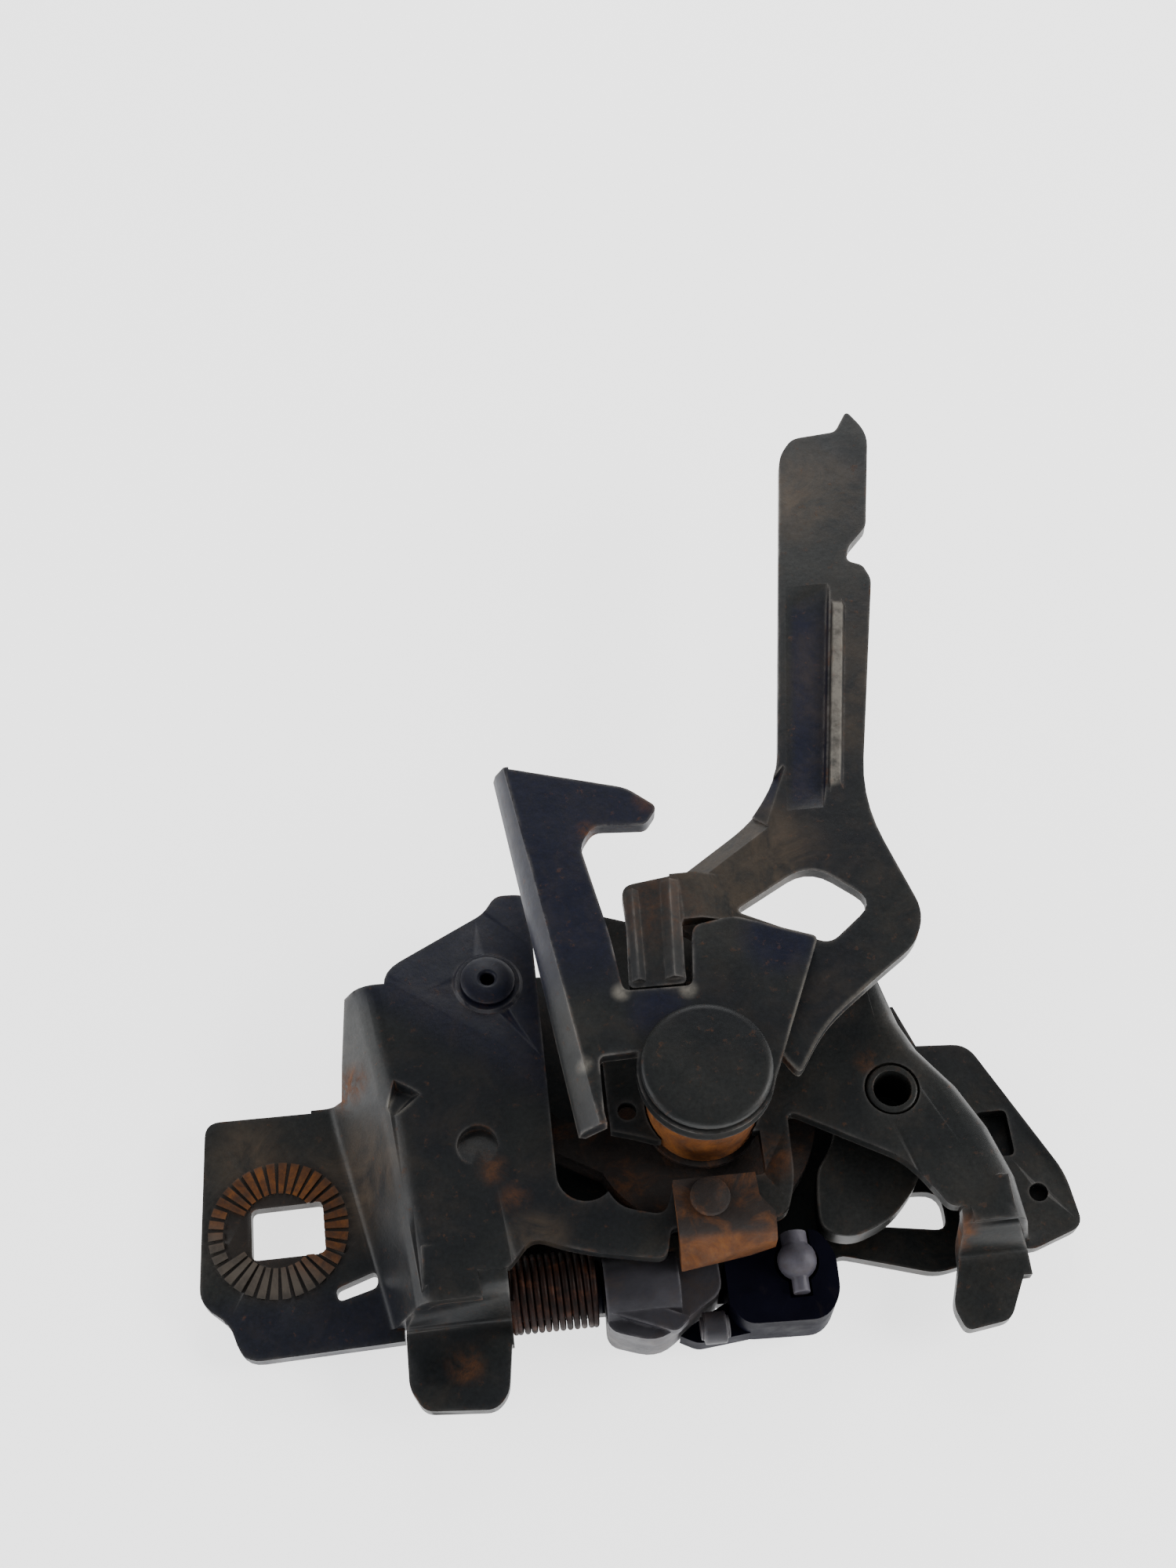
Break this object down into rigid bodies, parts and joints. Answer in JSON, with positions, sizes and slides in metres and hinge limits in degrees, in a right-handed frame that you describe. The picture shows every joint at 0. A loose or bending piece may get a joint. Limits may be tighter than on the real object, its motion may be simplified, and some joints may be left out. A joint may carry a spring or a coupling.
{
  "type": "vehicle hood latch",
  "caption": "Pressed steel bonnet latch with a striker claw, release pawl, cable end, hooked safety catch and a long safety lever.",
  "frame": {"origin": "on the rear face of the back plate, 12.5 mm left of the main stud's axis and 2 mm below it", "axes": "+Z out of the front of the latch, +Y towards the tip of the safety lever (up when fitted), +X to the right seen from the front; the latch lies on its back"},
  "size_m": [0.1369, 0.1648, 0.0335],
  "materials": {
    "painted_steel": "worn black dip coat, dusty, with rust specks",
    "rusted_steel": "orange brown surface rust",
    "bearing_steel": "dull zinc plate",
    "spring_steel": "dark spring wire, rusty",
    "zinc_casting": "dull grey die casting",
    "black_plastic": "black moulding"
  },
  "bodies": {
    "base": {"base_plate": "painted_steel", "back_plate": "painted_steel", "main_stud": "painted_steel", "pivot_collar": "rusted_steel", "collar_washer": "rusted_steel", "claw_bush_rear": "bearing_steel", "claw_bush_front": "bearing_steel", "pawl_stud": "painted_steel", "pawl_bush": "bearing_steel", "pawl_spring": "spring_steel", "hollow_rivet": "painted_steel", "rivet_spacer": "bearing_steel", "stop_bracket": "rusted_steel", "stop_rivet": "rusted_steel", "coil_spring": "spring_steel", "spring_pin": "black_plastic", "cable_holder": "zinc_casting", "cable_cover": "black_plastic", "cable_nipple": "zinc_casting", "cable_ferrule": "zinc_casting", "catch_spring": "spring_steel"},
    "claw": {"claw": "rusted_steel", "claw_buffer": "black_plastic"},
    "pawl": {"pawl": "painted_steel"},
    "catch": {"hook_plate": "painted_steel", "safety_lever": "painted_steel", "lever_rivet_lower": "painted_steel", "lever_rivet_upper": "painted_steel"}
  },
  "joints": [
    {"name": "claw_turn", "type": "hinge", "parent": "base", "child": "claw", "pos_m": [0.0125, 0.002, 0.009], "axis": [0, 0, 1], "range_deg": [0, 45], "stiffness_Nm_per_rad": 0.02},
    {"name": "pawl_turn", "type": "hinge", "parent": "base", "child": "pawl", "pos_m": [0.042, 0.001, 0.009], "axis": [0, 0, 1], "range_deg": [0, 14], "stiffness_Nm_per_rad": 0.02},
    {"name": "catch_turn", "type": "hinge", "parent": "base", "child": "catch", "pos_m": [0.0125, 0.002, 0.029], "axis": [0, 0, 1], "range_deg": [0, 32], "stiffness_Nm_per_rad": 0.06}
  ]
}
